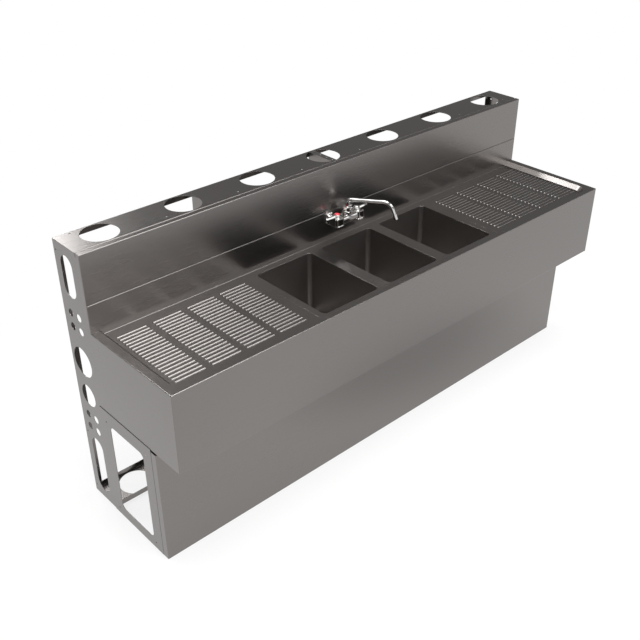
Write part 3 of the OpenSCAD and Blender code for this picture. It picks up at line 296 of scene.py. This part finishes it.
def moulded(name, tone, polish, coat):
    """A moulded surface: plastic or rubber."""
    made, graph = new_material(name)
    speck = graph.noise(SPECKS)
    cloud = graph.noise(MOULD_CLOUDS)
    finish_surface(graph, {
        "Base Color": graph.tint(cloud, tone, MOULD_FACTORS),
        "Roughness": polish + (cloud - 0.5) * MOULD_ROUGH,
        "Coat Weight": coat, "Coat Roughness": COAT_ROUGH,
        "Normal": graph.bump(speck, SPECK_STRENGTH, SPECK_DEPTH)})
    return made


# Settings

class SheetSettings(bpy.types.PropertyGroup):
    tone: bpy.props.FloatVectorProperty(
        name="Sheet colour", description="Colour of the satin sheets", subtype="COLOR",
        size=3, min=0.0, max=1.0, default=(0.215, 0.203, 0.196))
    polish: bpy.props.FloatProperty(
        name="Sheet roughness", description="Roughness of the satin sheets",
        min=0.1, max=0.6, default=0.28)
    bowl_tone: bpy.props.FloatVectorProperty(
        name="Bowl colour", description="Colour of the drawn bowls", subtype="COLOR",
        size=3, min=0.0, max=1.0, default=(0.27, 0.252, 0.242))
    bowl_polish: bpy.props.FloatProperty(
        name="Bowl roughness", description="Roughness of the drawn bowls",
        min=0.1, max=0.7, default=0.38)
    grain: bpy.props.FloatProperty(
        name="Grain", description="Depth of the fine grain",
        min=0.0, max=1.0, default=0.05)
    edge: bpy.props.FloatProperty(
        name="Edge radius", description="Radius left on the cut edges of the sheets",
        unit="LENGTH", subtype="DISTANCE", min=0.0001, max=0.0007, default=0.0003)


class FaucetSettings(bpy.types.PropertyGroup):
    tone: bpy.props.FloatVectorProperty(
        name="Plating colour", description="Colour of the bright plating", subtype="COLOR",
        size=3, min=0.0, max=1.0, default=(0.62, 0.61, 0.60))
    hot_tone: bpy.props.FloatVectorProperty(
        name="Hot cap colour", description="Colour of the hot index cap", subtype="COLOR",
        size=3, min=0.0, max=1.0, default=(0.62, 0.03, 0.05))
    lever_root: bpy.props.FloatProperty(
        name="Lever root", description="Width of a lever where it leaves its hub",
        unit="LENGTH", subtype="DISTANCE", min=0.006, max=0.012, default=0.0112)
    lever_end: bpy.props.FloatProperty(
        name="Lever end", description="Share of its root's width that a lever keeps at its end",
        subtype="FACTOR", min=0.5, max=1.0, default=0.86)
    lever_crown: bpy.props.FloatProperty(
        name="Lever crown", description="Share of a lever's width that its top keeps",
        subtype="FACTOR", min=0.2, max=1.0, default=0.4)
    cap_rim: bpy.props.FloatProperty(
        name="Cap rim", description="Width of the rim round an index cap",
        unit="LENGTH", subtype="DISTANCE", min=0.0004, max=0.002, default=0.0011)


class StudioSettings(bpy.types.PropertyGroup):
    floor_tone: bpy.props.FloatVectorProperty(
        name="Floor colour", description="Colour of the pale floor", subtype="COLOR",
        size=3, min=0.0, max=1.0, default=(0.86, 0.86, 0.86))
    room: bpy.props.FloatProperty(
        name="Room light", description="Strength of the light from the room",
        min=0.0, max=2.0, default=0.24)
    overhead: bpy.props.FloatProperty(
        name="Overhead light", description="Power of the wide panel above the front",
        unit="POWER", min=0.0, max=4000.0, default=190.0)
    overhead_left: bpy.props.FloatProperty(
        name="Left overhead light", description="Power of the wide panel above the left end",
        unit="POWER", min=0.0, max=4000.0, default=100.0)
    spout_light: bpy.props.FloatProperty(
        name="Spout light", description="Power of the small panel that shows in the spout",
        unit="POWER", min=0.0, max=4000.0, default=7.0)
    front: bpy.props.FloatProperty(
        name="Front light", description="Power of the wide panel in front of the unit",
        unit="POWER", min=0.0, max=4000.0, default=86.0)
    front_left: bpy.props.FloatProperty(
        name="Left front light", description="Power of the small panel that lights the left splash",
        unit="POWER", min=0.0, max=4000.0, default=55.0)
    high_rear: bpy.props.FloatProperty(
        name="High rear light", description="Power of the bright panel high behind the unit",
        unit="POWER", min=0.0, max=4000.0, default=64.0)
    low_rear: bpy.props.FloatProperty(
        name="Low rear light", description="Power of the small low panel behind the left end",
        unit="POWER", min=0.0, max=4000.0, default=44.0)
    lens: bpy.props.FloatProperty(
        name="Lens", description="Focal length of the camera in millimetres",
        min=20.0, max=120.0, default=50.0)


class BarSinkSettings(bpy.types.PropertyGroup):
    sheet: bpy.props.PointerProperty(type=SheetSettings)
    faucet: bpy.props.PointerProperty(type=FaucetSettings)
    studio: bpy.props.PointerProperty(type=StudioSettings)


# Modelling helpers

def deselect():
    """Leaves edit mode and deselects every object."""
    if bpy.context.object and bpy.context.object.mode != "OBJECT":
        bpy.ops.object.mode_set(mode="OBJECT")
    bpy.ops.object.select_all(action="DESELECT")


def activate(piece):
    """Selects one piece alone."""
    deselect()
    piece.select_set(True)
    bpy.context.view_layer.objects.active = piece


def apply_modifiers(piece):
    """Puts a piece's modifiers into its mesh."""
    activate(piece)
    for name in [m.name for m in piece.modifiers]:
        bpy.ops.object.modifier_apply(modifier=name)


def settle(piece):
    """Puts a piece's place into its mesh."""
    activate(piece)
    bpy.ops.object.transform_apply(location=True, rotation=True, scale=True)


def dress(piece, body, slot, material, *replaced):
    """Gives a piece its finish and its body, and hides the nodes that it stands for; slot is not
    used.
    """
    piece.data.materials.clear()
    piece.data.materials.append(material)
    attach(piece, body)
    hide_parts(*replaced)


def copy_of_node(node, name):
    """A merged copy of a CAD node's mesh, as a piece of its own."""
    mesh = NODES[node].data.copy()
    mesh.name = name
    piece = bpy.data.objects.new(name, mesh)
    bpy.context.scene.collection.objects.link(piece)
    activate(piece)
    bpy.ops.object.mode_set(mode="EDIT")
    bpy.ops.mesh.select_all(action="SELECT")
    bpy.ops.mesh.remove_doubles(threshold=MERGE_GAP)
    bpy.ops.mesh.dissolve_limited(angle_limit=math.radians(FLAT_ANGLE))
    bpy.ops.object.mode_set(mode="OBJECT")
    return piece


def soften_edges(piece, radius, steps=SHEET_EDGE_STEPS, sharp=SHARP_ANGLE):
    """Rounds the cut edges a little, and shades the bends smooth."""
    activate(piece)
    bpy.ops.object.shade_smooth_by_angle(angle=math.radians(sharp))
    bevel = piece.modifiers.new("Edges", "BEVEL")
    bevel.width = radius
    bevel.segments = steps
    bevel.limit_method = "ANGLE"
    bevel.angle_limit = math.radians(sharp)
    bevel.use_clamp_overlap = True
    even = piece.modifiers.new("Even shading", "WEIGHTED_NORMAL")
    even.keep_sharp = True
    apply_modifiers(piece)


def pick_faces(piece, wanted):
    """Opens a piece in edit mode with only the wanted faces selected."""
    activate(piece)
    bpy.ops.object.mode_set(mode="EDIT")
    bpy.ops.mesh.select_mode(type="FACE")
    bpy.ops.mesh.select_all(action="DESELECT")
    bpy.ops.object.mode_set(mode="OBJECT")
    for face in piece.data.polygons:
        face.select = wanted(face)
    bpy.ops.object.mode_set(mode="EDIT")


def draw_out(piece, wanted, step, squeeze):
    """Extrudes the wanted faces by a step and narrows their far end."""
    pick_faces(piece, wanted)
    bpy.ops.mesh.extrude_region_move(TRANSFORM_OT_translate={"value": step})
    bpy.ops.object.mode_set(mode="OBJECT")
    ends = [face.center for face in piece.data.polygons if face.select]
    middle = sum(ends, Vector()) / len(ends)
    bpy.ops.object.mode_set(mode="EDIT")
    bpy.ops.transform.resize(value=squeeze, center_override=middle)
    bpy.ops.object.mode_set(mode="OBJECT")


def turned(name, foot, radius, height, steps):
    """A round piece whose top is worked by insets, each a width and a rise."""
    deselect()
    bpy.ops.mesh.primitive_cylinder_add(
        vertices=ROUND_SIDES, radius=radius, depth=height,
        location=(foot[0], foot[1], foot[2] + height / 2))
    piece = bpy.context.object
    piece.name = piece.data.name = name
    settle(piece)
    pick_faces(piece, lambda face: face.normal.z > FACING)
    for width, rise in steps:
        bpy.ops.mesh.inset(thickness=width, depth=rise)
    bpy.ops.object.mode_set(mode="OBJECT")
    return piece


def joined(name, *pieces):
    """Several pieces as one."""
    activate(pieces[0])
    for piece in pieces[1:]:
        piece.select_set(True)
    bpy.ops.object.join()
    pieces[0].name = pieces[0].data.name = name
    return pieces[0]


def skin_node(node, body, slot, material, radius, steps=SHEET_EDGE_STEPS):
    """A dressed copy of a node, with rounded edges, that stands for it."""
    piece = copy_of_node(node, node + "_sheet")
    soften_edges(piece, radius, steps)
    dress(piece, body, slot, material, node)


# Pieces

ALONG_X = ["front_apron", "left_drainboard", "right_drainboard", "splash_panel", "riser_panel",
            "chase_top_plate", "access_panel"]
UPRIGHT = ["left_skirt", "right_skirt", "left_end_plate", "right_end_plate",
           "left_base_panel", "right_base_panel"]
INNER = ["chase_bottom_plate", "left_upright", "middle_upright", "right_upright",
         "left_deck_brace", "right_deck_brace", "low_front_rail", "high_front_rail",
         "panel_brackets", "panel_clips"]
BOWL_SIDES = ("left", "middle", "right")
BOWL_MIDDLES = [(low[0] + high[0]) / 2 for low, high in (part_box(s + "_bowl") for s in BOWL_SIDES)]
HALF_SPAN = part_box("bowl_deck_strips")[1][0] - BOWL_MIDDLES[-1]
DECK_JOINTS_X = [x + way * HALF_SPAN for x in BOWL_MIDDLES for way in (-1, 1)]
DECK_JOINTS_Y = [corner[1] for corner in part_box("bowl_deck_bars")]
MODELLED = ["hot_handle", "cold_handle", "hot_index_cap", "cold_index_cap"]
BODY_OF = {"access_panel": "front_access", "panel_clips": "front_access"}
FINISH = {}


class BARSINK_OT_finishes(bpy.types.Operator):
    """Mixes the finishes of the sink, the drains and the faucet"""
    bl_idname = "barsink.finishes"
    bl_label = "Finishes"

    def execute(self, context):
        sheet = context.scene.bar_sink.sheet
        faucet = context.scene.bar_sink.faucet
        FINISH.update(
            sheet_along=brushed_sheet(
                "satin_sheet_along", "X", sheet.tone, sheet.polish, sheet.grain),
            sheet_up=brushed_sheet(
                "satin_sheet_upright", "Y", sheet.tone, sheet.polish, sheet.grain),
            inner=brushed_sheet(
                "mill_sheet", "Y", sheet.tone, sheet.polish + MILL_ROUGHER, sheet.grain),
            bowl=brushed_sheet(
                "drawn_bowl", "Y", sheet.bowl_tone, sheet.bowl_polish, sheet.grain),
            drain=polished_metal("drain_metal", faucet.tone, polish=0.16, wear=0.08),
            pipe=polished_metal("waste_pipe_metal", faucet.tone, polish=0.12, wear=0.08),
            chrome=polished_metal("faucet_chrome", faucet.tone, polish=0.05, wear=0.03),
            zinc=polished_metal("zinc_plate", ZINC_TONE, polish=0.34, wear=0.12),
            brass=polished_metal("machined_brass", BRASS_TONE, polish=0.25, wear=0.10),
            rubber=moulded("black_rubber", RUBBER_TONE, polish=0.6, coat=0.0),
            hot=moulded("hot_cap_enamel", faucet.hot_tone, polish=0.22, coat=0.6))
        return {"FINISHED"}


class BARSINK_OT_sheets(bpy.types.Operator):
    """Rounds the cut edges of the folded sheets and gives them their grain"""
    bl_idname = "barsink.sheets"
    bl_label = "Folded sheets"

    def execute(self, context):
        radius = context.scene.bar_sink.sheet.edge
        for nodes, slot, finish in ((ALONG_X, "satin_sheet", "sheet_along"),
                                    (UPRIGHT, "satin_sheet", "sheet_up"),
                                    (INNER, "inner_sheet", "inner")):
            for node in nodes:
                skin_node(node, BODY_OF.get(node, "unit"), slot, FINISH[finish], radius)
        return {"FINISHED"}


class BARSINK_OT_bowl_deck(bpy.types.Operator):
    """Makes one sheet of the pieces round the bowls"""
    bl_idname = "barsink.bowl_deck"
    bl_label = "Sheet round the bowls"

    def execute(self, context):
        nodes = ("bowl_deck_corners", "bowl_deck_bars", "bowl_deck_strips")
        deck = joined("bowl_deck_sheet", *(copy_of_node(node, node + "_part") for node in nodes))

        def on_a_joint(face):
            n, at = face.normal, face.center
            across = any(abs(at.x - x) < JOINT_GAP for x in DECK_JOINTS_X)
            along = any(abs(at.y - y) < JOINT_GAP for y in DECK_JOINTS_Y)
            return (across and abs(n.x) > JOINT_FACING) or (along and abs(n.y) > JOINT_FACING)

        pick_faces(deck, on_a_joint)
        bpy.ops.mesh.delete(type="FACE")
        bpy.ops.mesh.select_all(action="SELECT")
        bpy.ops.mesh.remove_doubles(threshold=SEAM_GAP)
        bpy.ops.mesh.select_all(action="SELECT")
        bpy.ops.mesh.dissolve_limited(angle_limit=math.radians(FLAT_ANGLE))
        bpy.ops.object.mode_set(mode="OBJECT")
        soften_edges(deck, context.scene.bar_sink.sheet.edge)
        dress(deck, "unit", "satin_sheet", FINISH["sheet_along"], *nodes)
        return {"FINISHED"}


class BARSINK_OT_bowls(bpy.types.Operator):
    """Shades the drawn bowls smooth and gives them their finish"""
    bl_idname = "barsink.bowls"
    bl_label = "Bowls"

    def execute(self, context):
        for side in BOWL_SIDES:
            skin_node(side + "_bowl", "unit", "bowl_sheet", FINISH["bowl"],
                      context.scene.bar_sink.sheet.edge)
        return {"FINISHED"}


class BARSINK_OT_handles(bpy.types.Operator):
    """Models the two lever handles with their domed index caps"""
    bl_idname = "barsink.handles"
    bl_label = "Lever handles"

    def execute(self, context):
        faucet = context.scene.bar_sink.faucet
        for side, body, slot, finish in (("hot", "hot_valve", "red_cap", "hot"),
                                         ("cold", "cold_valve", "pale_cap", "chrome")):
            low, high = (Vector(corner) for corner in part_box(side + "_handle"))
            cap_low, cap_high = (Vector(corner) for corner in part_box(side + "_index_cap"))
            axis = (cap_low + cap_high) / 2
            reach = max(high.x - axis.x, axis.x - low.x)
            way = 1.0 if high.x - axis.x > axis.x - low.x else -1.0
            hub = self.shape_hub(side, axis, low, high)
            lever = self.shape_lever(side, axis, low, high, reach, way, faucet)
            handle = joined(side + "_lever_handle", hub, lever)
            dress(handle, body, "faucet_chrome", FINISH["chrome"], side + "_handle")
            cap = self.shape_cap(side, axis, cap_low, cap_high, faucet)
            dress(cap, body, slot, FINISH[finish], side + "_index_cap")
        return {"FINISHED"}

    def shape_hub(self, side, axis, low, high):
        """A round hub with a chamfered shoulder."""
        steps = [(width, HUB_SHOULDER * share) for width, share in HUB_SHOULDER_STEPS]
        hub = turned(side + "_hub", (axis.x, axis.y, low.z), (high.y - low.y) / 2,
                     high.z - low.z - HUB_SHOULDER, steps)
        bpy.ops.object.shade_smooth_by_angle(angle=math.radians(HUB_SHARP))
        return hub

    def shape_lever(self, side, axis, low, high, reach, way, faucet):
        """A lever that narrows from its hub and ends in a rounded nose."""
        foot = low.z + LEVER_LIFT
        thick = high.z - foot - LEVER_DIP
        deselect()
        bpy.ops.mesh.primitive_cube_add(
            size=1.0, scale=(LEVER_BLOCK, faucet.lever_root, thick),
            location=(axis.x + way * (LEVER_START + LEVER_BLOCK / 2), axis.y, foot + thick / 2))
        lever = bpy.context.object
        lever.name = lever.data.name = side + "_lever"
        settle(lever)
        pick_faces(lever, lambda face: face.normal.z > FACING)
        bpy.ops.transform.resize(value=(1.0, faucet.lever_crown, 1.0), center_override=(
            axis.x, axis.y, foot + thick))
        bpy.ops.object.mode_set(mode="OBJECT")
        run = (reach - LEVER_START - LEVER_BLOCK - NOSE) / LEVER_STEPS
        narrow = faucet.lever_end ** (1 / LEVER_STEPS)
        steps = [(run, narrow)] * LEVER_STEPS
        steps += [(NOSE * share, squeeze) for share, squeeze in NOSE_STEPS]
        for step, squeeze in steps:
            draw_out(lever, lambda face: face.normal.x * way > FACING,
                     (way * step, 0.0, 0.0), (1.0, squeeze, 1.0 - (1.0 - squeeze) * NOSE_DROP))
        soften_edges(lever, LEVER_EDGE, FITTING_EDGE_STEPS, LEVER_SHARP)
        return lever

    def shape_cap(self, side, axis, low, high, faucet):
        """A domed cap inside a narrow rim."""
        radius, height = (high.x - low.x) / 2, high.z - low.z
        wall = height * CAP_WALL
        inner = radius - faucet.cap_rim - CAP_CHAMFER
        steps = [(CAP_CHAMFER, CAP_CHAMFER), (faucet.cap_rim - CAP_CHAMFER, 0.0),
                 (CAP_CHAMFER, -CAP_DIP)]
        turns = [math.radians(CAP_ARC * ring / CAP_RINGS) for ring in range(CAP_RINGS + 1)]
        arc = [(inner * math.cos(turn), (height - wall) * math.sin(turn)) for turn in turns]
        steps += [(a[0] - b[0], b[1] - a[1]) for a, b in zip(arc, arc[1:])]
        cap = turned(side + "_cap", (axis.x, axis.y, low.z), radius, wall, steps)
        bpy.ops.object.shade_smooth_by_angle(angle=math.radians(CAP_SHARP))
        return cap


class BARSINK_OT_fittings(bpy.types.Operator):
    """Finishes the drains, shanks, bolts and faucet"""
    bl_idname = "barsink.fittings"
    bl_label = "Fittings"

    def execute(self, context):
        finishes = {
            "polished_drain": "drain", "black_rubber": "rubber", "brass_fittings": "brass",
            "chrome_pipe": "pipe", "faucet_chrome": "chrome", "red_cap": "hot",
            "pale_cap": "chrome", "zinc_fasteners": "zinc"}
        bodies = frame["record"]["behaviour"]["bodies"]
        for part in frame["record"]["subparts"]:
            node, slot = part["node"], part["material_slot"]
            if slot in finishes and node not in MODELLED:
                body = next(b for b, nodes in bodies.items() if node in nodes)
                edge = FAUCET_EDGE if slot == "faucet_chrome" else FITTING_EDGE
                skin_node(node, body, slot, FINISH[finishes[slot]], edge, FITTING_EDGE_STEPS)
        return {"FINISHED"}


class BARSINK_OT_studio(bpy.types.Operator):
    """Adds the floor, the lights and the camera"""
    bl_idname = "barsink.studio"
    bl_label = "Studio"

    def execute(self, context):
        studio = context.scene.bar_sink.studio
        self.add_floor(studio)
        self.add_world(context.scene, studio)
        for name, setting, place, aim, size, turn in LAMPS:
            self.add_panel(name, place, aim, size, getattr(studio, setting), turn)
        self.add_camera(context.scene, studio)
        context.scene.view_settings.view_transform = "Standard"
        return {"FINISHED"}

    def add_floor(self, studio):
        """A pale floor with a faint shadow, white to the camera, with painted shade where metal
        mirrors it.
        """
        deselect()
        bpy.ops.mesh.primitive_plane_add(size=FLOOR_SIZE, location=(0.0, 0.0, 0.0))
        floor = bpy.context.object
        floor.name = "studio_floor"
        made, graph = new_material("pale_floor")
        camera_ray, glossy_ray, transmission_ray = (
            graph.node("ShaderNodeLightPath", output=name)
            for name in ("Is Camera Ray", "Is Glossy Ray", "Is Transmission Ray"))
        seen = camera_ray.larger(glossy_ray.larger(transmission_ray))
        share = seen * self.fading_spot(graph, *SHADOW_SPOT)
        # Painted shade: the glow's colour darkens near the unit for mirrored rays alone
        shade = camera_ray.larger(self.fading_spot(graph, *PAINTED_SHADE_SPOT))
        light = graph.blend(shade, rgba(BLACK), rgba(WHITE))
        matt = graph.node("ShaderNodeBsdfDiffuse", {}, {"Color": rgba(studio.floor_tone)})
        glow = graph.node("ShaderNodeEmission", {}, {"Color": light, "Strength": 1.0})
        surface = graph.node("ShaderNodeMixShader", {}, {0: share, 1: matt, 2: glow})
        graph.node("ShaderNodeOutputMaterial", {}, {"Surface": surface})
        floor.data.materials.append(made)

    def fading_spot(self, graph, stretch, shift, reach, least):
        """A share that is least inside a spot on the floor and grows to one around it."""
        apart = graph.node("ShaderNodeVectorMath", {"operation": "LENGTH"},
                           {0: graph.place(stretch, shift)}, output="Value")
        return graph.node("ShaderNodeMapRange", {"interpolation_type": "SMOOTHSTEP"}, {
            "Value": apart, "From Min": reach[0], "From Max": reach[1],
            "To Min": least, "To Max": 1.0})

    def add_world(self, scene, studio):
        """A dim room that shows white to the camera alone."""
        world = bpy.data.worlds.new("studio_room")
        world.use_nodes = True
        graph = Graph(world.node_tree)
        camera_ray = graph.node("ShaderNodeLightPath", output="Is Camera Ray")
        shade = graph.node("ShaderNodeBackground", {}, {
            "Color": graph.blend(camera_ray, rgba(ROOM_TONE), rgba(WHITE)),
            "Strength": camera_ray * (1.0 - studio.room) + studio.room})
        graph.node("ShaderNodeOutputWorld", {}, {"Surface": shade})
        scene.world = world

    def add_panel(self, name, place, aim, size, power, turn):
        """A flat lamp that the camera doesn't see."""
        lamp = bpy.data.lights.new(name, "AREA")
        lamp.shape = "RECTANGLE"
        lamp.size, lamp.size_y = size
        lamp.energy = power
        panel = bpy.data.objects.new(name, lamp)
        panel.location = place
        panel.visible_camera = False
        panel.rotation_euler = (Vector(aim) - Vector(place)).to_track_quat("-Z", "Y").to_euler()
        panel.rotation_euler.rotate_axis("Z", math.radians(turn))
        bpy.context.scene.collection.objects.link(panel)

    def add_camera(self, scene, studio):
        """The camera of the photograph."""
        lens = bpy.data.cameras.new("photo_camera")
        lens.lens = studio.lens
        lens.sensor_width = SENSOR_WIDTH
        lens.clip_end = FAR_CLIP
        camera = bpy.data.objects.new("photo_camera", lens)
        camera.location = CAMERA_PLACE
        camera.rotation_euler = Euler([math.radians(angle) for angle in CAMERA_TURN])
        scene.collection.objects.link(camera)
        scene.camera = camera


class BARSINK_PT_panel(bpy.types.Panel):
    """Sizes, colours and steps of the bar sink"""
    bl_idname = "BARSINK_PT_panel"
    bl_label = "Bar Sink"
    bl_space_type = "VIEW_3D"
    bl_region_type = "UI"
    bl_category = "Bar Sink"

    def draw(self, context):
        settings = context.scene.bar_sink
        for title, group in (("Sheets", settings.sheet), ("Faucet", settings.faucet),
                             ("Studio", settings.studio)):
            box = self.layout.box()
            box.label(text=title)
            for name in group.__annotations__:
                box.prop(group, name)
        for step in STEPS:
            self.layout.operator(step.bl_idname)


SETTINGS = (SheetSettings, FaucetSettings, StudioSettings, BarSinkSettings)
STEPS = (BARSINK_OT_finishes, BARSINK_OT_sheets, BARSINK_OT_bowl_deck, BARSINK_OT_bowls,
         BARSINK_OT_handles, BARSINK_OT_fittings, BARSINK_OT_studio)


def register():
    for part in (*SETTINGS, *STEPS, BARSINK_PT_panel):
        bpy.utils.register_class(part)
    bpy.types.Scene.bar_sink = bpy.props.PointerProperty(type=BarSinkSettings)


def unregister():
    del bpy.types.Scene.bar_sink
    for part in reversed((*SETTINGS, *STEPS, BARSINK_PT_panel)):
        bpy.utils.unregister_class(part)


def main():
    register()
    for step in STEPS:
        group, name = step.bl_idname.split(".")
        getattr(getattr(bpy.ops, group), name)()


if __name__ == "__main__":
    main()
